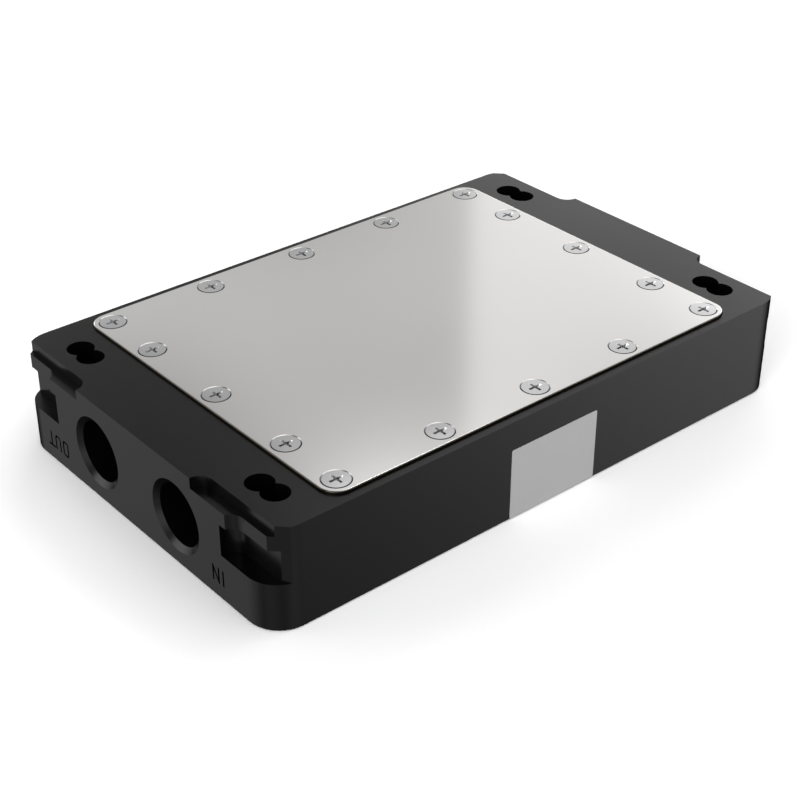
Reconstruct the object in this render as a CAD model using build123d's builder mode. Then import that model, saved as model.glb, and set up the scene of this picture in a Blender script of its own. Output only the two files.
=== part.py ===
from build123d import *
from math import radians, sqrt, tan
import os

# Liquid cooling block: a machined black body, closed by a metal plate that is the cooling face.
# Sizes are in millimetres. The origin is the centre of the bottom face.
# +X runs from the ported end to the plain end and +Z points out of the cooling face.

# Cover plate
plate_length = 106.0
plate_width = 83.0
plate_thickness = 3.0
plate_corner_radius = 4.0
plate_edge_round = 0.2
plate_stands_proud = 0.6

# Body
plate_gap = 0.12
side_wall = 1.88
end_wall = 15.38
body_height = 22.6
corner_radius = 7.0
corner_cut = 5.3
base_edge = 0.3

# Screws round the plate
screw_inset = 4.0
long_row_count = 5
end_row_count = 3
end_row_pitch = 22.5
thread_radius = 1.5
thread_slack = 0.05
screw_length = 8.0
screw_tip = 0.4
screw_hole_run_out = 0.8
head_radius = 2.74
head_rim_height = 0.3
head_crown = 0.01
countersink_radius = 3.03
countersink_angle = 90.0
screw_clearance = 0.15
cross_span = 3.1
cross_arm = 0.56
cross_centre = 1.1
cross_depth = 0.8
cross_end_slope = 26.0
cross_side_slope = 7.0

# Seal between the screws and the flow space
seal_groove_width = 2.3
seal_groove_depth = 1.35
seal_side_gap = 0.125
seal_web_to_screws = 1.1
seal_web_to_chamber = 1.55
seal_corner_radius = 6.0
seal_edge_radius = 0.6

# Flow space under the plate
chamber_corner_radius = 5.0
lane_depth = 9.0
well_length = 10.0
well_floor = 5.0
divider_thickness = 3.0
turn_width = 12.0

# Folded fins, one pack in each lane, brazed to the underside of the plate
fin_crests = 7
fin_sheet = 0.4
fin_side_gap = 0.4
fin_tip_gap = 0.3
fin_end_gap = 0.5

# Ports in the end face
port_spacing = 27.7
port_height = 10.9
port_radius = 6.5
port_depth = 16.0
port_lead_in = 1.2
port_lead_in_depth = 0.85
passage_radius = 5.0

# Paired mounting holes at the corners
mounting_hole_radius = 2.85
outer_holes_x = 118.6
outer_holes_y = 66.4
inner_holes_x = 119.2
inner_holes_y = 57.8

# Stepped recesses at the ends: a slot on top, a rib under it and a pocket under the rib
recess_end_radius = 3.0
slot_depth = 3.0
slot_start = 19.7
slot_height = 2.25
rib_set_back = 2.0
rib_start = 30.2
rib_height = 3.12
pocket_depth = 3.7
pocket_start = 28.5
pocket_height = 6.78

# Engraved words, read with the cooling face down
letter_height = 3.2
letter_width = 1.75
letter_bar = 2.3
letter_stroke = 0.5
letter_depth = 0.3
words_height = 5.15
out_word_start = 26.85
in_word_start = -28.7
letter_step = 3.0
letter_step_to_bar = 2.65
letter_step_from_stem = 2.3

# Label on the long side
label_width = 23.0
label_height = 15.9
label_thickness = 0.1
label_corner_radius = 0.4
label_offset = 0.1

# A cut runs past the surface that it opens by this much
cut_over = 2.0

os.makedirs("parts", exist_ok=True)

# Sizes that follow from the ones above
top = body_height + plate_stands_proud
plate_seat = top - plate_thickness
seat_length = plate_length + 2 * plate_gap
seat_width = plate_width + 2 * plate_gap
body_length = seat_length + 2 * end_wall
body_width = seat_width + 2 * side_wall

screw_rows_x = plate_length - 2 * screw_inset
screw_rows_y = plate_width - 2 * screw_inset
long_row_pitch = screw_rows_x / (long_row_count - 1)
long_rows = GridLocations(long_row_pitch, screw_rows_y, long_row_count, 2)
end_rows = GridLocations(screw_rows_x, end_row_pitch, 2, end_row_count)
screw_places = [place.position for rows in (long_rows, end_rows) for place in rows]
screw_hole_radius = thread_radius + thread_slack
head_seat = top - (countersink_radius - head_radius)
screw_end = head_seat - screw_length

groove_inset = screw_inset + screw_hole_radius + seal_web_to_screws
chamber_inset = groove_inset + seal_groove_width + seal_web_to_chamber
chamber_length = plate_length - 2 * chamber_inset
chamber_width = plate_width - 2 * chamber_inset
lane_floor = plate_seat - lane_depth
lane_width = (chamber_width - divider_thickness) / 2
lane_offset = (chamber_width + divider_thickness) / 4
divider_end = chamber_length / 2 - turn_width
well_end = well_length - chamber_length / 2

fin_start = well_end + fin_end_gap
fin_walls = 2 * fin_crests
fin_step = (lane_width - 2 * fin_side_gap - fin_sheet) / (fin_walls - 1)
fin_top = plate_seat - fin_sheet / 2
fin_foot = lane_floor + fin_tip_gap + fin_sheet / 2

slot_floor = body_height - slot_height
rib_floor = slot_floor - rib_height
pocket_floor = rib_floor - pocket_height


def ring(inset, width, corner):
    """Draw a flat ring: its outer edge lies inset from the edge of the plate."""
    outer_length = plate_length - 2 * inset
    outer_width = plate_width - 2 * inset
    RectangleRounded(outer_length, outer_width, corner)
    inner_length = outer_length - 2 * width
    inner_width = outer_width - 2 * width
    RectangleRounded(inner_length, inner_width, corner - width, mode=Mode.SUBTRACT)


def flow_outline():
    """Draw the flow space seen from above: two lanes joined round the free end of the dividing wall."""
    divider_start = -chamber_length / 2 - cut_over
    RectangleRounded(chamber_length, chamber_width, chamber_corner_radius)
    with Locations(((divider_start + divider_end) / 2, 0)):
        Rectangle(divider_end - divider_start, divider_thickness, mode=Mode.SUBTRACT)


def engraved_stroke(*points):
    """Draw one pass of the engraving cutter through the points, with its round ends."""
    with BuildLine() as path:
        Polyline(*points)
    trace(path.edges(), line_width=letter_stroke)
    with Locations(*points):
        Circle(letter_stroke / 2)


def letter_o(x):
    """Draw the letter O with its middle at x."""
    with Locations((x, 0)):
        RectangleRounded(letter_width + letter_stroke, letter_height + letter_stroke, letter_width / 2)
        RectangleRounded(
            letter_width - letter_stroke,
            letter_height - letter_stroke,
            letter_width / 2 - letter_stroke,
            mode=Mode.SUBTRACT,
        )


def letter_u(x):
    """Draw the letter U with its middle at x."""
    left = x - letter_width / 2
    right = x + letter_width / 2
    bend = (letter_width - letter_height) / 2
    engraved_stroke((left, letter_height / 2), (left, bend))
    engraved_stroke((right, letter_height / 2), (right, bend))
    with BuildLine() as path:
        CenterArc((x, bend), letter_width / 2, 180, 180)
    trace(path.edges(), line_width=letter_stroke)


def letter_t(x):
    """Draw the letter T with its stem at x."""
    engraved_stroke((x, -letter_height / 2), (x, letter_height / 2))
    engraved_stroke((x - letter_bar / 2, letter_height / 2), (x + letter_bar / 2, letter_height / 2))


def letter_i(x):
    """Draw the letter I at x."""
    engraved_stroke((x, -letter_height / 2), (x, letter_height / 2))


def letter_n(x):
    """Draw the letter N with its middle at x."""
    left = x - letter_width / 2
    right = x + letter_width / 2
    foot = -letter_height / 2
    head = letter_height / 2
    engraved_stroke((left, foot), (left, head))
    engraved_stroke((left, head), (right, foot))
    engraved_stroke((right, foot), (right, head))


# Body, machined from one piece of black plastic
with BuildPart() as body_block:
    with BuildSketch():
        RectangleRounded(body_length, body_width, corner_radius)
    extrude(amount=body_height)

    # Two opposite corners are cut off flat above the pockets: the cutter removes a triangle of each
    with BuildSketch(Plane.XY.offset(pocket_floor)):
        with Locations((body_length / 2, body_width / 2), (-body_length / 2, -body_width / 2)):
            Rectangle(sqrt(2) * corner_cut, sqrt(2) * corner_cut, rotation=45)
    extrude(amount=body_height - pocket_floor, mode=Mode.SUBTRACT)
    chamfer(faces().sort_by(Axis.Z)[0].outer_wire().edges(), length=base_edge)

    # Seat of the plate, with the seal's groove in its floor
    with BuildSketch(Plane.XY.offset(plate_seat)):
        RectangleRounded(seat_length, seat_width, plate_corner_radius + plate_gap)
    extrude(amount=plate_thickness, mode=Mode.SUBTRACT)
    with BuildSketch(Plane.XY.offset(plate_seat)):
        ring(groove_inset, seal_groove_width, seal_corner_radius)
    extrude(amount=-seal_groove_depth, mode=Mode.SUBTRACT)

    # Flow space, with a deeper well in front of each port
    with BuildSketch(Plane.XY.offset(lane_floor)):
        flow_outline()
    extrude(amount=lane_depth, mode=Mode.SUBTRACT)
    with BuildSketch(Plane.XY.offset(well_floor)):
        flow_outline()
        with Locations((well_end - well_length / 2, 0)):
            Rectangle(well_length, chamber_width, mode=Mode.INTERSECT)
    extrude(amount=lane_floor - well_floor, mode=Mode.SUBTRACT)

    # Ports: a smooth bore for a push-in spigot, its bevelled mouth and a narrower passage to the well
    port_face = Plane(origin=(-body_length / 2, 0, port_height), x_dir=(0, 1, 0), z_dir=(-1, 0, 0))
    with Locations(port_face):
        with Locations((-port_spacing / 2, 0), (port_spacing / 2, 0)):
            CounterBoreHole(
                radius=passage_radius,
                counter_bore_radius=port_radius,
                counter_bore_depth=port_depth,
                depth=(body_length - chamber_length) / 2 + cut_over,
            )
            Cone(
                bottom_radius=port_radius,
                top_radius=port_radius + port_lead_in,
                height=port_lead_in_depth,
                align=(Align.CENTER, Align.CENTER, Align.MAX),
                mode=Mode.SUBTRACT,
            )

    # Screw holes in the seat
    with BuildSketch(Plane.XY.offset(plate_seat)):
        with Locations(*screw_places):
            Circle(screw_hole_radius)
    extrude(amount=screw_end - screw_hole_run_out - plate_seat, mode=Mode.SUBTRACT)

    # Paired mounting holes, right through
    with BuildSketch():
        with GridLocations(outer_holes_x, outer_holes_y, 2, 2):
            Circle(mounting_hole_radius)
        with GridLocations(inner_holes_x, inner_holes_y, 2, 2):
            Circle(mounting_hole_radius)
    extrude(amount=body_height, mode=Mode.SUBTRACT)

    # Stepped recesses, the same at all four corners
    recess_steps = [
        (slot_depth, slot_start, slot_floor, slot_height),
        (rib_set_back, rib_start, rib_floor, rib_height),
        (pocket_depth, pocket_start, pocket_floor, pocket_height),
    ]
    for depth, start, floor, height in recess_steps:
        cut_length = depth + 2 * cut_over
        cut_width = body_width / 2 - start + 2 * cut_over
        cut_places = GridLocations(body_length - 2 * depth + cut_length, 2 * start + cut_width, 2, 2)
        with BuildSketch(Plane.XY.offset(floor)):
            with cut_places:
                Rectangle(cut_length, cut_width)
            fillet(vertices().sort_by_distance((0, 0, 0))[:4], recess_end_radius)
        extrude(amount=height, mode=Mode.SUBTRACT)

    # Words beside the ports
    word_face = Plane(origin=(-body_length / 2, 0, words_height), x_dir=(0, 1, 0), z_dir=(-1, 0, 0))
    with BuildSketch(word_face):
        letter_o(out_word_start)
        letter_u(out_word_start + letter_step)
        letter_t(out_word_start + letter_step + letter_step_to_bar)
        letter_i(in_word_start)
        letter_n(in_word_start + letter_step_from_stem)
    extrude(amount=-letter_depth, mode=Mode.SUBTRACT)

body_block.part.label = "body_block"
export_step(body_block.part, "parts/body_block.step")

# Cover plate, one piece of metal
with BuildPart() as cover_plate:
    with BuildSketch(Plane.XY.offset(plate_seat)):
        RectangleRounded(plate_length, plate_width, plate_corner_radius)
    extrude(amount=plate_thickness)
    fillet(faces().sort_by(Axis.Z)[-1].outer_wire().edges(), radius=plate_edge_round)
    with Locations(*[(place.X, place.Y, top) for place in screw_places]):
        CounterSinkHole(
            radius=thread_radius + screw_clearance,
            counter_sink_radius=countersink_radius,
            counter_sink_angle=countersink_angle,
        )

cover_plate.part.label = "cover_plate"
export_step(cover_plate.part, "parts/cover_plate.step")

# Folded fin packs: a strip of sheet metal bent into square waves, seen from its end
for lane_name, lane_middle in (("inlet_fins", -lane_offset), ("outlet_fins", lane_offset)):
    fold_points = []
    for wall_number in range(fin_walls):
        across = lane_middle + (wall_number - (fin_walls - 1) / 2) * fin_step
        wall = [(across, fin_foot), (across, fin_top)]
        fold_points += wall if wall_number % 2 == 0 else wall[::-1]
    with BuildPart() as fin_pack:
        with BuildSketch(Plane.YZ.offset(fin_start)):
            with BuildLine() as strip:
                Polyline(*fold_points)
            trace(strip.edges(), line_width=fin_sheet)
        extrude(amount=divider_end - fin_start)
    fin_pack.part.label = lane_name
    export_step(fin_pack.part, f"parts/{lane_name}.step")

# Rubber seal, pressed flat by the plate to the depth of its groove
seal_width = seal_groove_width - 2 * seal_side_gap
seal_edge = min(seal_edge_radius, 0.45 * seal_groove_depth)
with BuildPart() as cover_seal:
    with BuildSketch(Plane.XY.offset(plate_seat - seal_groove_depth)):
        ring(groove_inset + seal_side_gap, seal_width, seal_corner_radius - seal_side_gap)
    extrude(amount=seal_groove_depth)
    fillet(edges().filter_by(Axis.Z, reverse=True), radius=seal_edge)

cover_seal.part.label = "cover_seal"
export_step(cover_seal.part, "parts/cover_seal.step")

# Cross recess of a screw: four wings whose ends slope inward, so its foot is smaller than its mouth
rim_top = head_seat + head_rim_height
head_top = rim_top + head_crown
with BuildPart() as cross_recess:
    with BuildSketch(Plane.XY.offset(head_top)):
        Rectangle(cross_span, cross_arm)
        Rectangle(cross_arm, cross_span)
        Rectangle(cross_centre, cross_centre, rotation=45)
    extrude(amount=-cross_depth, taper=cross_side_slope)
    foot_radius = cross_span / 2 - cross_depth * tan(radians(cross_end_slope))
    with Locations((0, 0, head_top - cross_depth / 2)):
        Cone(foot_radius, cross_span / 2, cross_depth, mode=Mode.INTERSECT)

# One cross-recess screw on the Z axis, at its real height
neck = head_seat - (head_radius - thread_radius)
crown_radius = (head_radius**2 + head_crown**2) / (2 * head_crown)
with BuildPart() as cover_screw:
    with BuildSketch(Plane.XZ):
        with BuildLine():
            Polyline(
                (0, head_top),
                (0, screw_end),
                (thread_radius - screw_tip, screw_end),
                (thread_radius, screw_end + screw_tip),
                (thread_radius, neck),
                (head_radius, head_seat),
                (head_radius, rim_top),
            )
            RadiusArc((head_radius, rim_top), (0, head_top), -crown_radius)
        make_face()
    revolve(axis=Axis.Z)
    add(cross_recess.part, mode=Mode.SUBTRACT)

# All the screws of the cover, as separate solids
with BuildPart() as cover_screws:
    with Locations(*screw_places):
        add(cover_screw.part)

cover_screws.part.label = "cover_screws"
export_step(cover_screws.part, "parts/cover_screws.step")

# Foil label on the long side
with BuildPart() as side_label:
    label_middle = (label_offset, -body_width / 2, base_edge + label_height / 2)
    with BuildSketch(Plane(origin=label_middle, x_dir=(1, 0, 0), z_dir=(0, -1, 0))):
        RectangleRounded(label_width, label_height, label_corner_radius)
    extrude(amount=label_thickness)

side_label.part.label = "side_label"
export_step(side_label.part, "parts/side_label.step")
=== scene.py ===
"""Looks of the liquid cooling block: its finishes, the studio round it and the camera.

Every size is in metres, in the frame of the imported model: the origin is the centre of the bottom face, +X
runs from the ported end to the plain end and +Z points out of the cooling face.
"""
import logging
import math
from dataclasses import dataclass, field
from enum import Enum
from typing import Any, Optional, Union

import bpy
import numpy as np
from mathutils import Euler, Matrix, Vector

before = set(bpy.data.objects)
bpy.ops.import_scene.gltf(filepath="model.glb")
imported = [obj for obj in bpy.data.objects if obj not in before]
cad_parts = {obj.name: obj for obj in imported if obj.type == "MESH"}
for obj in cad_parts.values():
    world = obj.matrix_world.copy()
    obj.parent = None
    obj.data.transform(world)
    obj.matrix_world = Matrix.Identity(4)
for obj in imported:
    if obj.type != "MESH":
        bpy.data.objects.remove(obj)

LOG = logging.getLogger("cooling_block")
MM = 0.001
Colour = tuple[float, float, float]


def toned(colour: Colour, share: float) -> Colour:
    """Make a colour lighter or darker without changing its hue.

    Args:
        colour: The colour, linear.
        share: What each of its parts is multiplied by.

    Returns:
        The new colour.
    """
    return tuple(share * part for part in colour)


class Slot(Enum):
    """Material slots of the record."""

    BODY = "body_plastic"
    PLATE = "plate_metal"
    SCREWS = "screw_steel"
    SEAL = "seal_rubber"
    FINS = "fin_metal"
    LABEL = "label_foil"


class Graph:
    """A node tree that is being filled, of a material or of the world."""

    def __init__(self, tree: bpy.types.NodeTree) -> None:
        """Take over a tree and empty it.

        Args:
            tree: The node tree of a material or a world.
        """
        self.tree = tree
        tree.nodes.clear()

    def node(
        self,
        kind: str,
        settings: Optional[dict[str, Any]] = None,
        inputs: Optional[dict[Union[str, int], Any]] = None,
    ) -> bpy.types.Node:
        """Add a node, say what it does, and then feed its sockets.

        Args:
            kind: Blender's name of the node type.
            settings: Properties of the node, set first.
            inputs: Values, sockets or Scalars, by the name or the number of the input socket.

        Returns:
            The new node.
        """
        made = self.tree.nodes.new(kind)
        for name, value in (settings or {}).items():
            setattr(made, name, value)
        for name, value in (inputs or {}).items():
            self.feed(made.inputs[name], value)
        return made

    def feed(self, socket: bpy.types.NodeSocket, value: Any) -> None:
        """Link a socket or a Scalar to an input, or write a plain value into it.

        Args:
            socket: The input socket.
            value: A number, a colour, a vector, an output socket or a Scalar.
        """
        if isinstance(value, Scalar):
            value = value.socket
        if isinstance(value, bpy.types.NodeSocket):
            self.tree.links.new(value, socket)
        elif socket.type == "RGBA" and len(value) == 3:
            socket.default_value = (*value, 1.0)
        else:
            socket.default_value = value

    def scalar(
        self,
        kind: str,
        output: Union[str, int],
        settings: Optional[dict[str, Any]] = None,
        inputs: Optional[dict[Union[str, int], Any]] = None,
    ) -> "Scalar":
        """Add a node and wrap one of its outputs.

        Args:
            kind: Blender's name of the node type.
            output: Name or number of the output.
            settings: Properties of the node.
            inputs: Values, sockets or Scalars, by the name or the number of the input socket.

        Returns:
            The output as a Scalar.
        """
        return Scalar(self, self.node(kind, settings, inputs).outputs[output])

    def axes(self, place: bpy.types.NodeSocket) -> list["Scalar"]:
        """Take coordinates apart.

        Args:
            place: The coordinates, or a direction.

        Returns:
            Its X, Y and Z.
        """
        parts = self.node("ShaderNodeSeparateXYZ", inputs={"Vector": place})
        return [Scalar(self, parts.outputs[axis]) for axis in ("X", "Y", "Z")]

    def along(self, place: bpy.types.NodeSocket, direction: Vector) -> "Scalar":
        """Multiply a vector by a fixed one.

        Args:
            place: The vector.
            direction: The fixed vector.

        Returns:
            Their dot product.
        """
        settings = {"operation": "DOT_PRODUCT"}
        return self.scalar("ShaderNodeVectorMath", "Value", settings, {0: place, 1: direction})

    def seen(self) -> "Scalar":
        """Tell the camera's own view from light and reflections.

        Returns:
            1 for what the camera sees directly and 0 for all else.
        """
        return self.scalar("ShaderNodeLightPath", "Is Camera Ray")

    def mix(self, factor: "Number", low: Any, high: Any) -> bpy.types.NodeSocket:
        """Mix two colours.

        Args:
            factor: 0 gives low and 1 gives high.
            low: A colour or a colour socket.
            high: A colour or a colour socket.

        Returns:
            The colour socket of the mixture.
        """
        settings = {"data_type": "RGBA", "clamp_factor": True}
        return self.node("ShaderNodeMix", settings, {0: factor, 6: low, 7: high}).outputs[2]

    def place(self) -> bpy.types.NodeSocket:
        """Find where a point is on the object.

        Returns:
            The socket of its coordinates, in metres.
        """
        return self.node("ShaderNodeTexCoord").outputs["Object"]

    def stretched(
        self, place: bpy.types.NodeSocket, scale: tuple[float, float, float]
    ) -> bpy.types.NodeSocket:
        """Scale the coordinates, so that a pattern on them is drawn out.

        Args:
            place: The coordinates.
            scale: The factor along each axis.

        Returns:
            The socket of the new coordinates.
        """
        return self.node("ShaderNodeMapping", inputs={"Vector": place, "Scale": scale}).outputs["Vector"]

    def noise(
        self, place: bpy.types.NodeSocket, scale: float, detail: float = 2.0, rough: float = 0.5
    ) -> "Scalar":
        """Smooth noise about 0, from roughly -0.5 to 0.5.

        Args:
            place: The coordinates it is laid on.
            scale: How many blobs there are in a metre.
            detail: How many finer layers are added.
            rough: How strong each finer layer is, as a share of the one before.

        Returns:
            The noise as a Scalar.
        """
        inputs = {"Vector": place, "Scale": scale, "Detail": detail, "Roughness": rough}
        return self.scalar("ShaderNodeTexNoise", 0, inputs=inputs) - 0.5

    def bump(self, height: "Scalar", distance: float, strength: float) -> bpy.types.NodeSocket:
        """Turn a height pattern into a normal.

        Args:
            height: The pattern.
            distance: How many metres a height of 1 stands for.
            strength: From 0, none, to 1, full.

        Returns:
            The normal socket.
        """
        inputs = {"Height": height, "Distance": distance, "Strength": strength}
        return self.node("ShaderNodeBump", inputs=inputs).outputs["Normal"]


class Scalar:
    """A value that changes from point to point. Arithmetic on it adds Math nodes to its graph."""

    def __init__(self, graph: Graph, socket: bpy.types.NodeSocket) -> None:
        """Wrap an output socket.

        Args:
            graph: The graph that the socket is in.
            socket: The output socket.
        """
        self.graph = graph
        self.socket = socket

    def apply(self, operation: str, *others: "Number", reverse: bool = False) -> "Scalar":
        """Add a Math node.

        Args:
            operation: Blender's name of the operation.
            others: The other operands, numbers or Scalars.
            reverse: True if this value comes after the others.

        Returns:
            The result.
        """
        operands = [*others, self] if reverse else [self, *others]
        return self.graph.scalar("ShaderNodeMath", 0, {"operation": operation}, dict(enumerate(operands)))

    def __add__(self, other: "Number") -> "Scalar":
        """Add.

        Args:
            other: A number or a Scalar.

        Returns:
            The sum.
        """
        return self.apply("ADD", other)

    __radd__ = __add__

    def __sub__(self, other: "Number") -> "Scalar":
        """Subtract.

        Args:
            other: A number or a Scalar.

        Returns:
            The difference.
        """
        return self.apply("SUBTRACT", other)

    def __rsub__(self, other: "Number") -> "Scalar":
        """Subtract this value from the other.

        Args:
            other: A number or a Scalar.

        Returns:
            The difference.
        """
        return self.apply("SUBTRACT", other, reverse=True)

    def __mul__(self, other: "Number") -> "Scalar":
        """Multiply.

        Args:
            other: A number or a Scalar.

        Returns:
            The product.
        """
        return self.apply("MULTIPLY", other)

    __rmul__ = __mul__

    def __truediv__(self, other: "Number") -> "Scalar":
        """Divide.

        Args:
            other: A number or a Scalar.

        Returns:
            The quotient.
        """
        return self.apply("DIVIDE", other)

    def __rtruediv__(self, other: "Number") -> "Scalar":
        """Divide the other by this value.

        Args:
            other: A number or a Scalar.

        Returns:
            The quotient.
        """
        return self.apply("DIVIDE", other, reverse=True)

    def __pow__(self, other: "Number") -> "Scalar":
        """Raise to a power.

        Args:
            other: A number or a Scalar.

        Returns:
            The power.
        """
        return self.apply("POWER", other)

    def __neg__(self) -> "Scalar":
        """Change the sign.

        Returns:
            The opposite.
        """
        return self * -1.0

    def __abs__(self) -> "Scalar":
        """Drop the sign.

        Returns:
            The absolute value.
        """
        return self.apply("ABSOLUTE")

    def wrapped(self, half: float) -> "Scalar":
        """Find the nearest place in a row of evenly spaced ones, with one at 0.

        Args:
            half: Half the spacing.

        Returns:
            The distance from that place, with its sign.
        """
        return self.apply("WRAP", half, -half)

    def smooth_step(self, low: float, high: float) -> "Scalar":
        """Go over softly from one side to the other.

        Args:
            low: Where the curve leaves 0.
            high: Where it reaches 1.

        Returns:
            0 below low, 1 above high and an S-curve in between.
        """
        inputs = {"Value": self, "From Min": low, "From Max": high}
        return self.graph.scalar("ShaderNodeMapRange", 0, {"interpolation_type": "SMOOTHSTEP"}, inputs)


Number = Union[float, Scalar]


@dataclass(frozen=True)
class Finish:
    """A surface finish: what all of them share.

    Attributes:
        name: The material's name.
        colour: Base colour, linear.
        roughness: Middle value of the roughness.
        metallic: 1 for bare metal and 0 for everything else.
    """

    name: str
    colour: Colour
    roughness: float
    metallic: float = 0.0

    def pattern(self, graph: Graph) -> dict[str, Any]:
        """Make what varies over the surface.

        Args:
            graph: The graph of the material.

        Returns:
            Inputs of the surface shader, by name.
        """
        raise NotImplementedError

    def constants(self) -> dict[str, Any]:
        """Give what is the same all over the surface.

        Returns:
            Inputs of the surface shader, by name.
        """
        return {"Metallic": self.metallic}

    def surface(self, graph: Graph) -> bpy.types.NodeSocket:
        """The shader of the surface.

        Args:
            graph: The graph of the material.

        Returns:
            The shader socket.
        """
        inputs = {**self.constants(), **self.pattern(graph)}
        return graph.node("ShaderNodeBsdfPrincipled", inputs=inputs).outputs["BSDF"]

    def material(self) -> bpy.types.Material:
        """Build the material.

        Returns:
            The new material.
        """
        made = bpy.data.materials.new(self.name)
        made.use_nodes = True
        graph = Graph(made.node_tree)
        graph.node("ShaderNodeOutputMaterial", inputs={"Surface": self.surface(graph)})
        made.diffuse_color = (*self.colour, 1.0)
        return made


@dataclass(frozen=True)
class BlackPolymer(Finish):
    """Matt black engineering plastic, machined and lightly blasted to a fine even grain.

    Attributes:
        mirror: How much it mirrors, where 0.5 is a common plastic.
        grain: Size of the grain.
        grain_height: Height of the grain.
        grain_relief: How much of the grain the relief shows.
        grain_gloss: How much the grain changes the roughness.
        cloud: Size of the faint patches where the grain is a little finer or coarser.
        cloud_gloss: How much the patches change the roughness.
        cloud_tone: How much the patches change the tone, as a share either way.
        shade: How much painted shade darkens the deepest places, as a share mixed over the plastic.
        shade_colour: Colour of the painted shade in the deepest places.
        shade_reach: How far off a wall still shades a point in a bore, a slot or an engraved line.
        shade_full: A point is fully shaded where it is open to less than this share.
        shade_none: A point isn't shaded where it is open to more than this share.
        shade_rays: Number of rays that look for walls.
    """

    mirror: float = 0.225
    grain: float = 0.16 * MM
    grain_height: float = 0.002 * MM
    grain_relief: float = 0.6
    grain_gloss: float = 0.08
    cloud: float = 14.0 * MM
    cloud_gloss: float = 0.05
    cloud_tone: float = 0.15
    shade: float = 0.3
    shade_colour: Colour = (0.0012, 0.0012, 0.0012)
    shade_reach: float = 7.0 * MM
    shade_full: float = 0.1
    shade_none: float = 0.6
    shade_rays: int = 6

    def constants(self) -> dict[str, Any]:
        """Give what is the same all over: this plastic mirrors less than most.

        Returns:
            Inputs of the surface shader, by name.
        """
        return {"Metallic": self.metallic, "Specular IOR Level": self.mirror}

    def pattern(self, graph: Graph) -> dict[str, Any]:
        """Lay grain in the relief and the roughness, and patches in the tone.

        Args:
            graph: The graph of the material.

        Returns:
            Inputs of the surface shader, by name.
        """
        place = graph.place()
        grain = graph.noise(place, 1 / self.grain, detail=3.0, rough=0.6)
        cloud = graph.noise(place, 1 / self.cloud, detail=4.0, rough=0.55)
        dark = toned(self.colour, 1 - self.cloud_tone)
        light = toned(self.colour, 1 + self.cloud_tone)
        return {
            "Base Color": graph.mix(cloud + 0.5, dark, light),
            "Roughness": self.roughness + self.grain_gloss * grain + self.cloud_gloss * cloud,
            "Normal": graph.bump(grain, self.grain_height, self.grain_relief),
        }

    def surface(self, graph: Graph) -> bpy.types.NodeSocket:
        """Make the plastic, with painted shade in bores, slots and engraved lines: a dark diffuse mixed in
        where little of the surroundings is open.

        Args:
            graph: The graph of the material.

        Returns:
            The shader socket.
        """
        # Painted shade: where walls close round a point, a dark diffuse is mixed over the plastic.
        settings = {"samples": self.shade_rays, "only_local": True}
        reach = {"Distance": self.shade_reach}
        open_share = graph.scalar("ShaderNodeAmbientOcclusion", "AO", settings, reach)
        shaded = self.shade * (1.0 - open_share.smooth_step(self.shade_full, self.shade_none))
        painted_shade_bsdf = graph.node("ShaderNodeBsdfDiffuse", inputs={"Color": self.shade_colour}).outputs[0]
        inputs = {0: shaded, 1: super().surface(graph), 2: painted_shade_bsdf}
        return graph.node("ShaderNodeMixShader", inputs=inputs).outputs[0]


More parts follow.
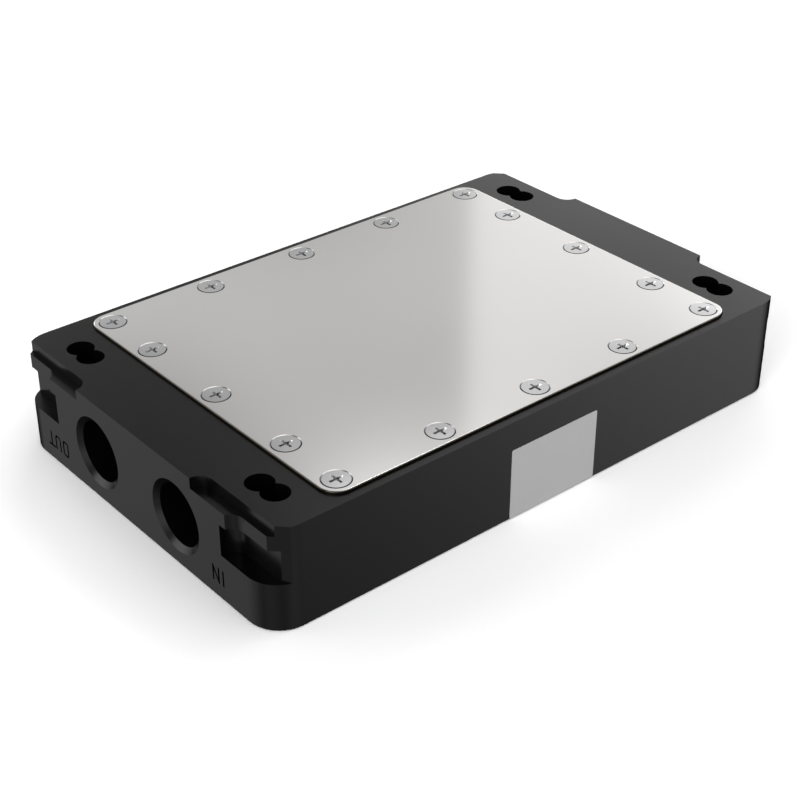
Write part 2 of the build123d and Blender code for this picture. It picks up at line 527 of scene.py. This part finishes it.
@dataclass(frozen=True)
class LappedPlate(Finish):
    """Plated metal, lapped to a satin finish: hardly visible strokes along the plate and a faint haze.

    The rounded edge and the sides aren't lapped and are rougher; a dark reflection is painted into their
    colour.

    Attributes:
        stroke_length: Length of a lapping stroke.
        stroke_width: Width of a lapping stroke.
        stroke_height: Height of a lapping stroke.
        stroke_relief: How much of the strokes the relief shows.
        stroke_tone: How much the strokes sway the tone.
        stroke_gloss: How much the strokes change the roughness.
        haze: Size of the hazy patches.
        haze_tone: How much the haze sways the tone.
        haze_gloss: How much the haze changes the roughness.
        bright: The brightest tone, as a share of the colour.
        dull: The dullest tone, as a share of the colour.
        face_height: Height of the lapped face.
        edge_depth: How far under that face the painted dark reflection on the edge is at full strength.
        painted_edge_dark_colour: Colour of the painted dark reflection on the edge.
        edge_gloss: How much rougher the edge is.
        half_length: Half the plate's length.
        half_width: Half the plate's width.
        corner: Radius of the plate's corners.
        rim: How far in from the outline the painted dark reflection may reach, which keeps it off the
            countersinks.
    """

    stroke_length: float = 30.0 * MM
    stroke_width: float = 0.12 * MM
    stroke_height: float = 0.0001 * MM
    stroke_relief: float = 0.3
    stroke_tone: float = 0.4
    stroke_gloss: float = 0.02
    haze: float = 18.0 * MM
    haze_tone: float = 0.5
    haze_gloss: float = 0.01
    bright: float = 1.01
    dull: float = 0.985
    face_height: float = 23.2 * MM
    edge_depth: float = 0.03 * MM
    painted_edge_dark_colour: Colour = (0.085, 0.075, 0.06)
    edge_gloss: float = 0.2
    half_length: float = 53.0 * MM
    half_width: float = 41.5 * MM
    corner: float = 4.0 * MM
    rim: float = 0.5 * MM

    def edge(self, graph: Graph, place: bpy.types.NodeSocket) -> Scalar:
        """Find the rounded edge and the sides, where the dark reflection is painted, by their depth and
        their distance from the middle.

        Args:
            graph: The graph of the material.
            place: The coordinates.

        Returns:
            1 on the edge and the sides, and 0 on the face and in the countersinks.
        """
        x, y, z = graph.axes(place)
        sunk = (self.face_height - z).smooth_step(0.1 * self.edge_depth, self.edge_depth)
        along = (abs(x) - (self.half_length - self.corner)).apply("MAXIMUM", 0.0)
        across = (abs(y) - (self.half_width - self.corner)).apply("MAXIMUM", 0.0)
        reach = (along * along + across * across).apply("SQRT")
        return sunk * reach.smooth_step(self.corner - self.rim, self.corner - 0.8 * self.rim)

    def pattern(self, graph: Graph) -> dict[str, Any]:
        """Lay strokes in the relief and the roughness, haze in the tone, and a painted dark reflection on
        the edge.

        Args:
            graph: The graph of the material.

        Returns:
            Inputs of the surface shader, by name.
        """
        place = graph.place()
        edge = self.edge(graph, place)
        across = 1 / self.stroke_width
        drawn = graph.stretched(place, (1 / self.stroke_length, across, across))
        strokes = graph.noise(drawn, 1.0, detail=3.0)
        haze = graph.noise(place, 1 / self.haze, detail=3.0)
        sway = 0.5 + self.haze_tone * haze + self.stroke_tone * strokes
        lapped = graph.mix(sway, toned(self.colour, self.dull), toned(self.colour, self.bright))
        gloss = self.stroke_gloss * strokes + self.haze_gloss * haze + self.edge_gloss * edge
        return {
            # Painted dark reflection: the edge's colour is darkened in place of the highlight its rounding
            # would catch.
            "Base Color": graph.mix(edge, lapped, self.painted_edge_dark_colour),
            "Roughness": self.roughness + gloss,
            "Normal": graph.bump(strokes, self.stroke_height, self.stroke_relief),
        }


@dataclass(frozen=True)
class ScrewSteel(Finish):
    """Plain steel of the screws, with the fine rings that turning leaves on the heads.

    Attributes:
        row_x: Half the distance between the two end rows.
        row_y: Half the distance between the two long rows.
        long_pitch: Distance between the screws of a long row.
        end_pitch: Distance between the screws of an end row.
        ring: Distance between two turning rings.
        ring_height: Height of a turning ring.
        ring_relief: How much of the rings the relief shows.
        ring_wobble: How far noise pushes the rings to and fro, in radians.
        ring_tone: How much the rings sway the tone.
        ring_gloss: How much the rings change the roughness.
        wobble: Number of blobs in a metre of the noise that bends the rings.
        spots: Number of faint spots in a metre.
        spot_gloss: How much the spots change the roughness.
        dull: The dullest tone outside the painted shade, as a share of the colour.
        head_radius: Radius of a head.
        shaded_rim: How far in from the head's side the painted shade of the gap round it reaches.
        painted_gap_shade: Tone of the painted shade in the gap round each head, as a share of the colour.
        gap_gloss: How much rougher the shaded rim is.
    """

    row_x: float = 49.0 * MM
    row_y: float = 37.5 * MM
    long_pitch: float = 24.5 * MM
    end_pitch: float = 22.5 * MM
    ring: float = 0.11 * MM
    ring_height: float = 0.0004 * MM
    ring_relief: float = 0.4
    ring_wobble: float = 2.5
    ring_tone: float = 0.08
    ring_gloss: float = 0.01
    wobble: float = 900.0
    spots: float = 3500.0
    spot_gloss: float = 0.03
    dull: float = 0.96
    head_radius: float = 2.74 * MM
    shaded_rim: float = 0.05 * MM
    painted_gap_shade: float = 0.22
    gap_gloss: float = 0.3

    def radius(self, graph: Graph, place: bpy.types.NodeSocket) -> Scalar:
        """Measure from the axis of the nearest screw: the lesser distance of both kinds of row.

        Args:
            graph: The graph of the material.
            place: The coordinates.

        Returns:
            The distance.
        """
        x, y, _ = graph.axes(place)
        long_row = x.wrapped(self.long_pitch / 2) ** 2.0 + (abs(y) - self.row_y) ** 2.0
        end_row = (abs(x) - self.row_x) ** 2.0 + y.wrapped(self.end_pitch / 2) ** 2.0
        return long_row.apply("MINIMUM", end_row) ** 0.5

    def pattern(self, graph: Graph) -> dict[str, Any]:
        """Lay turning rings in the relief, faint spots in the tone, and painted shade round the rim of each
        head, where the gap to the countersink is.

        Args:
            graph: The graph of the material.

        Returns:
            Inputs of the surface shader, by name.
        """
        place = graph.place()
        wobble = graph.noise(place, self.wobble, detail=2.0)
        radius = self.radius(graph, place)
        rings = (radius * (2 * math.pi / self.ring) + self.ring_wobble * wobble).apply("SINE")
        spots = graph.noise(place, self.spots, detail=3.0)
        side = self.head_radius
        # Painted shade: the rim of each head is darkened where the gap to the countersink would be in
        # shade.
        painted_gap_shade = radius.smooth_step(side - self.shaded_rim, side - 0.2 * self.shaded_rim)
        unshaded_steel = graph.mix(0.6 + spots + self.ring_tone * rings, toned(self.colour, self.dull), self.colour)
        gloss = self.spot_gloss * spots + self.ring_gloss * rings + self.gap_gloss * painted_gap_shade
        return {
            "Base Color": graph.mix(painted_gap_shade, unshaded_steel, toned(self.colour, self.painted_gap_shade)),
            "Roughness": self.roughness + gloss,
            "Normal": graph.bump(rings, self.ring_height, self.ring_relief),
        }


@dataclass(frozen=True)
class FoilLabel(Finish):
    """Blank satin label stock: a pale grey film with a very fine grain.

    Attributes:
        grain: Size of the grain of the film.
        grain_share: Height of the grain, as a share of the waves' height.
        grain_tone: How much the grain sways the tone.
        grain_gloss: How much the grain changes the roughness.
        waves: Number of waves in a metre.
        wave_height: Height of a wave.
        wave_relief: How much of the waves the relief shows.
        wave_tone: How much the waves sway the tone.
        spread: How far the tone goes either way, as a share.
    """

    grain: float = 0.2 * MM
    grain_share: float = 0.02
    grain_tone: float = 0.4
    grain_gloss: float = 0.06
    waves: float = 90.0
    wave_height: float = 0.05 * MM
    wave_relief: float = 0.25
    wave_tone: float = 0.6
    spread: float = 0.03

    def pattern(self, graph: Graph) -> dict[str, Any]:
        """Lay grain in the relief and the roughness, and soft waves where the film lies less flat.

        Args:
            graph: The graph of the material.

        Returns:
            Inputs of the surface shader, by name.
        """
        place = graph.place()
        grain = graph.noise(place, 1 / self.grain, detail=2.0)
        wave = graph.noise(place, self.waves, detail=2.0)
        sway = 0.5 + self.wave_tone * wave + self.grain_tone * grain
        dull = toned(self.colour, 1 - self.spread)
        pale = toned(self.colour, 1 + self.spread)
        return {
            "Base Color": graph.mix(sway, dull, pale),
            "Roughness": self.roughness + self.grain_gloss * grain,
            "Normal": graph.bump(self.grain_share * grain + wave, self.wave_height, self.wave_relief),
        }


@dataclass(frozen=True)
class FinCopper(Finish):
    """Rolled copper sheet of the fins, dulled by the brazing.

    Attributes:
        blots: Number of tarnished blots in a metre.
        tarnish: Colour of the tarnish.
        tarnish_share: How much of the tarnish shows.
        tarnish_gloss: How much rougher the tarnish is.
        lines: Number of rolling lines in a metre, along and across the sheet.
        line_height: Height of a rolling line.
        line_relief: How much of the lines the relief shows.
        line_gloss: How much the lines change the roughness.
    """

    blots: float = 260.0
    tarnish: Colour = (0.24, 0.085, 0.045)
    tarnish_share: float = 0.6
    tarnish_gloss: float = 0.18
    lines: tuple[float, float, float] = (60.0, 5000.0, 5000.0)
    line_height: float = 0.001 * MM
    line_relief: float = 0.5
    line_gloss: float = 0.08

    def pattern(self, graph: Graph) -> dict[str, Any]:
        """Lay darker tarnish in blots, and rolling lines along the sheet.

        Args:
            graph: The graph of the material.

        Returns:
            Inputs of the surface shader, by name.
        """
        place = graph.place()
        blots = graph.noise(place, self.blots, detail=4.0).smooth_step(-0.05, 0.25)
        lines = graph.noise(graph.stretched(place, self.lines), 1.0)
        return {
            "Base Color": graph.mix(self.tarnish_share * blots, self.colour, self.tarnish),
            "Roughness": self.roughness + self.tarnish_gloss * blots + self.line_gloss * lines,
            "Normal": graph.bump(lines, self.line_height, self.line_relief),
        }


@dataclass(frozen=True)
class SealRubber(Finish):
    """Moulded black rubber, a little dusty from the talc it is packed with.

    Attributes:
        specks: Number of specks of powder in a metre.
        powder: Colour of the powder.
        powder_share: How much of the powder shows.
        powder_gloss: How much rougher the powder is.
        pores: Number of pores in a metre of the moulded skin.
        pore_height: Depth of a pore.
        pore_relief: How much of the pores the relief shows.
    """

    specks: float = 1800.0
    powder: Colour = (0.12, 0.12, 0.115)
    powder_share: float = 0.35
    powder_gloss: float = 0.12
    pores: float = 2600.0
    pore_height: float = 0.01 * MM
    pore_relief: float = 0.4

    def pattern(self, graph: Graph) -> dict[str, Any]:
        """Lay powder in the tone and a soft skin in the relief.

        Args:
            graph: The graph of the material.

        Returns:
            Inputs of the surface shader, by name.
        """
        place = graph.place()
        powder = graph.noise(place, self.specks, detail=4.0, rough=0.65).smooth_step(0.0, 0.3)
        skin = graph.noise(place, self.pores, detail=2.0)
        return {
            "Base Color": graph.mix(self.powder_share * powder, self.colour, self.powder),
            "Roughness": self.roughness + self.powder_gloss * powder,
            "Normal": graph.bump(skin, self.pore_height, self.pore_relief),
        }


@dataclass
class Part:
    """A CAD node that keeps its shape and gets its finish.

    Attributes:
        node: Name of the CAD node.
        finish: Its finish.
        slot: The record's material slot; not used by this script.
    """

    node: str
    finish: Finish
    slot: Slot

    def dress(self, material: bpy.types.Material) -> bpy.types.Object:
        """Put a material into every slot of the node.

        Args:
            material: The finished material.

        Returns:
            The CAD object.
        """
        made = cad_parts[self.node]
        if not made.material_slots:
            made.data.materials.append(material)
        for place in made.material_slots:
            place.material = material
        return made


@dataclass
class CoolingBlock:
    """The whole block: the machined body and what is fixed to it.

    Attributes:
        polymer: Finish of the body.
        nickel: Finish of the cover plate.
        steel: Finish of the screws.
        copper: Finish of the fins.
        rubber: Finish of the seal.
        foil: Finish of the label.
    """

    polymer: Finish = BlackPolymer("matt_black_polymer", (0.0015, 0.0015, 0.00155), 0.25)
    nickel: Finish = LappedPlate("lapped_plate", (0.785, 0.775, 0.76), 0.09, 1.0)
    steel: Finish = ScrewSteel("screw_steel", (0.64, 0.64, 0.645), 0.11, 1.0)
    copper: Finish = FinCopper("brazed_copper", (0.60, 0.24, 0.12), 0.38, 1.0)
    rubber: Finish = SealRubber("seal_rubber", (0.018, 0.018, 0.018), 0.6)
    foil: Finish = FoilLabel("label_film", (0.385, 0.385, 0.385), 0.35)

    def parts(self) -> list[Part]:
        """List the CAD nodes with their finishes.

        Returns:
            One Part for each node.
        """
        return [
            Part("body_block", self.polymer, Slot.BODY),
            Part("cover_plate", self.nickel, Slot.PLATE),
            Part("cover_screws", self.steel, Slot.SCREWS),
            Part("cover_seal", self.rubber, Slot.SEAL),
            Part("inlet_fins", self.copper, Slot.FINS),
            Part("outlet_fins", self.copper, Slot.FINS),
            Part("side_label", self.foil, Slot.LABEL),
        ]

    def build(self) -> list[bpy.types.Object]:
        """Dress every node, with one material for each finish.

        Returns:
            The CAD objects.
        """
        materials: dict[str, bpy.types.Material] = {}
        made = []
        for part in self.parts():
            if part.finish.name not in materials:
                materials[part.finish.name] = part.finish.material()
            made.append(part.dress(materials[part.finish.name]))
            LOG.info("dressed %s in %s", part.node, part.finish.name)
        return made


@dataclass(frozen=True)
class SkyPatch:
    """A soft round patch of light in the sky.

    Attributes:
        azimuth: Its direction in degrees, from +X towards +Y.
        elevation: Its height above the horizon in degrees.
        width: The angle from its middle to where it has faded to about a third, in degrees.
        strength: Its brightness in the middle.
    """

    azimuth: float
    elevation: float
    width: float
    strength: float

    def direction(self) -> Vector:
        """Point to the middle of the patch.

        Returns:
            The unit vector.
        """
        across, up = math.radians(self.azimuth), math.radians(self.elevation)
        return Vector((math.cos(across) * math.cos(up), math.sin(across) * math.cos(up), math.sin(up)))

    def glow(self, graph: Graph, towards: bpy.types.NodeSocket) -> Scalar:
        """Spread the patch over the sky.

        In direction v, a patch at direction d adds strength times exp((v . d - 1) / (1 - cos width)).

        Args:
            graph: The graph of the world.
            towards: The direction looked in.

        Returns:
            What the patch adds there.
        """
        fade = 1 / (1 - math.cos(math.radians(self.width)))
        near = graph.along(towards, self.direction())
        return self.strength * ((near - 1.0) * fade).apply("EXPONENT")


@dataclass
class Studio:
    """The floor, the soft light round the block and the camera.

    Attributes:
        floor_radius: Radius of the round floor.
        floor_rings: Number of rings in the floor's grid.
        floor_spokes: Number of spokes in the floor's grid.
        floor_white: Colour of the floor.
        floor_specks: Number of faint specks in a metre of the floor.
        floor_spread: How far the specks change the white, as a share.
        floor_lift: How much brighter the camera sees the floor, as a share, so that it keeps white.
        ambient: Brightness of the sky above the horizon where there is no patch.
        wall_light: What the brighter wall of the studio adds.
        wall_azimuth: Where that wall ends, in degrees.
        wall_edge: How softly it ends.
        horizon: How far above and below the horizon the plain level goes over to dark.
        patches: The soft lights.
        camera_place: Where the camera stands.
        camera_turn: Its turn about X, Y and Z, in degrees.
        camera_lens: Its focal length in millimetres.
        camera_sensor: Width of its sensor in millimetres.
    """

    floor_radius: float = 3.0
    floor_rings: int = 24
    floor_spokes: int = 96
    floor_white: float = 0.92
    floor_specks: float = 700.0
    floor_spread: float = 0.005
    floor_lift: float = 0.3
    ambient: float = 0.05
    wall_light: float = 0.313
    wall_azimuth: float = 47.3
    wall_edge: float = 0.006
    horizon: float = 0.09
    patches: list[SkyPatch] = field(default_factory=lambda: [
        SkyPatch(-165.0, 20.0, 15.0, 5.37),
        SkyPatch(-155.0, 0.0, 15.0, 4.62),
        SkyPatch(-150.0, 36.0, 18.0, 1.51),
        SkyPatch(-110.0, 50.0, 30.0, 0.791),
        SkyPatch(-60.0, 62.0, 20.0, 0.79),
        SkyPatch(-45.0, -10.0, 15.0, 6.19),
        SkyPatch(-30.0, 36.0, 18.0, 0.6),
        SkyPatch(-10.0, 50.0, 8.5, 4.02),
        SkyPatch(26.0, 22.0, 8.5, 4.35),
        SkyPatch(44.0, 8.0, 8.5, 4.36),
        SkyPatch(44.0, 22.0, 8.5, 0.439),
        SkyPatch(44.0, 28.0, 4.0, 0.103),
        SkyPatch(44.0, 33.0, 4.0, 0.245),
        SkyPatch(44.0, 43.0, 4.0, 7.25),
        SkyPatch(50.0, 28.0, 4.0, 0.243),
        SkyPatch(50.0, 33.0, 4.0, 0.11),
        SkyPatch(50.0, 38.0, 4.0, 1.22),
        SkyPatch(56.0, 28.0, 4.0, 0.233),
        SkyPatch(56.0, 33.0, 4.0, 0.261),
        SkyPatch(62.0, 22.0, 8.5, 0.342),
        SkyPatch(62.0, 28.0, 4.0, 0.246),
        SkyPatch(80.0, 8.0, 8.5, 1.03),
        SkyPatch(80.0, 22.0, 8.5, 5.57),
        SkyPatch(105.0, 12.0, 15.0, 0.253),
        SkyPatch(110.0, 36.0, 18.0, 0.827),
        SkyPatch(125.0, -10.0, 15.0, 1.68),
        SkyPatch(135.0, 12.0, 15.0, 3.17),
        SkyPatch(148.0, 13.0, 6.0, 4.06),
        SkyPatch(-162.0, -32.0, 14.0, 0.514),
        SkyPatch(-135.0, -32.0, 22.0, 0.531),
        SkyPatch(-96.0, -32.0, 14.0, 0.65),
        SkyPatch(-74.0, -32.0, 14.0, 0.696),
        SkyPatch(-30.0, -32.0, 16.0, 0.497),
        SkyPatch(130.0, -32.0, 16.0, 0.614),
        SkyPatch(160.0, -32.0, 16.0, 0.757),
    ])
    camera_place: tuple[float, float, float] = (-0.19649, -0.23089, 0.190045)
    camera_turn: tuple[float, float, float] = (58.25, 0.0, -40.0)
    camera_lens: float = 74.475
    camera_sensor: float = 36.0

    def floor(self) -> bpy.types.Object:
        """Build the floor, a flat disc: x = r cos a and y = r sin a, with r growing as t squared.

        Returns:
            The floor, which reflections don't see.
        """
        steps = np.linspace(0.0, 1.0, self.floor_rings + 1)[1:]
        radii = self.floor_radius * steps**2
        angles = np.linspace(0.0, 2 * math.pi, self.floor_spokes, endpoint=False)
        radius, angle = np.meshgrid(radii, angles, indexing="ij")
        rings = [radius * np.cos(angle), radius * np.sin(angle), np.zeros_like(radius)]
        points = np.vstack([np.zeros((1, 3)), np.stack(rings, axis=-1).reshape(-1, 3)])
        spoke = np.arange(self.floor_spokes)
        after = (spoke + 1) % self.floor_spokes
        middle = np.stack([np.zeros_like(spoke), 1 + spoke, 1 + after], axis=-1)
        inner = np.arange(self.floor_rings - 1)[:, None] * self.floor_spokes + 1
        outer = inner + self.floor_spokes
        corners = [inner + spoke, outer + spoke, outer + after, inner + after]
        rest = np.stack(corners, axis=-1).reshape(-1, 4)
        mesh = bpy.data.meshes.new("studio_floor")
        mesh.from_pydata(points.tolist(), [], middle.tolist() + rest.tolist())
        mesh.materials.append(self.floor_material())
        made = bpy.data.objects.new("studio_floor", mesh)
        bpy.context.scene.collection.objects.link(made)
        made.visible_glossy = False
        return made

    def floor_material(self) -> bpy.types.Material:
        """Make a white floor that keeps the block's shadow, and that the camera sees a little brighter.

        Returns:
            The new material.
        """
        made = bpy.data.materials.new("studio_floor")
        made.use_nodes = True
        graph = Graph(made.node_tree)
        specks = graph.noise(graph.place(), self.floor_specks, detail=2.0)
        lit = self.floor_white * (1 - self.floor_spread / 2 + self.floor_spread * specks)
        level = lit * (1.0 + graph.seen() * self.floor_lift)
        white = graph.node("ShaderNodeCombineXYZ", inputs={"X": level, "Y": level, "Z": level})
        paint = graph.node("ShaderNodeBsdfDiffuse", inputs={"Color": white.outputs[0]})
        graph.node("ShaderNodeOutputMaterial", inputs={"Surface": paint.outputs[0]})
        return made

    def sky(self) -> bpy.types.World:
        """Light the block from all round: a plain level, a brighter wall on one side, and soft patches.

        The camera sees plain white.

        Returns:
            The new world.
        """
        made = bpy.data.worlds.new("studio_sky")
        made.use_nodes = True
        graph = Graph(made.node_tree)
        towards = graph.node("ShaderNodeTexCoord").outputs["Generated"]
        level = self.wall(graph, towards)
        for patch in self.patches:
            level = level + patch.glow(graph, towards)
        level = level + graph.seen() * (1.0 - level)
        shine = graph.node("ShaderNodeBackground", inputs={"Color": (1.0, 1.0, 1.0), "Strength": level})
        graph.node("ShaderNodeOutputWorld", inputs={"Surface": shine.outputs[0]})
        bpy.context.scene.world = made
        return made

    def wall(self, graph: Graph, towards: bpy.types.NodeSocket) -> Scalar:
        """Make the plain level of the sky, with the brighter wall that ends at an upright edge.

        Args:
            graph: The graph of the world.
            towards: The direction looked in.

        Returns:
            The brightness there, without the patches.
        """
        edge = math.radians(self.wall_azimuth)
        side = graph.along(towards, Vector((math.sin(edge), -math.cos(edge), 0.0)))
        _, _, height = graph.axes(towards)
        above = height.smooth_step(-self.horizon, self.horizon)
        return (self.ambient + self.wall_light * side.smooth_step(-self.wall_edge, self.wall_edge)) * above

    def camera(self) -> bpy.types.Object:
        """Set up the camera where the photograph was taken from.

        Returns:
            The camera, which is also the scene's camera.
        """
        lens = bpy.data.cameras.new("camera")
        lens.sensor_width = self.camera_sensor
        lens.lens = self.camera_lens
        made = bpy.data.objects.new("camera", lens)
        made.location = self.camera_place
        made.rotation_euler = Euler([math.radians(part) for part in self.camera_turn])
        bpy.context.scene.collection.objects.link(made)
        bpy.context.scene.camera = made
        return made

    def build(self) -> None:
        """Set up the studio."""
        bpy.context.scene.view_settings.view_transform = "Standard"
        self.floor()
        self.sky()
        self.camera()
        LOG.info("studio is up, with %d soft lights", len(self.patches))


def main() -> None:
    """Dress the block and set up the studio round it."""
    logging.basicConfig(level=logging.INFO, format="%(name)s: %(message)s")
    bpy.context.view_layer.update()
    CoolingBlock().build()
    Studio().build()


if __name__ == "__main__":
    main()
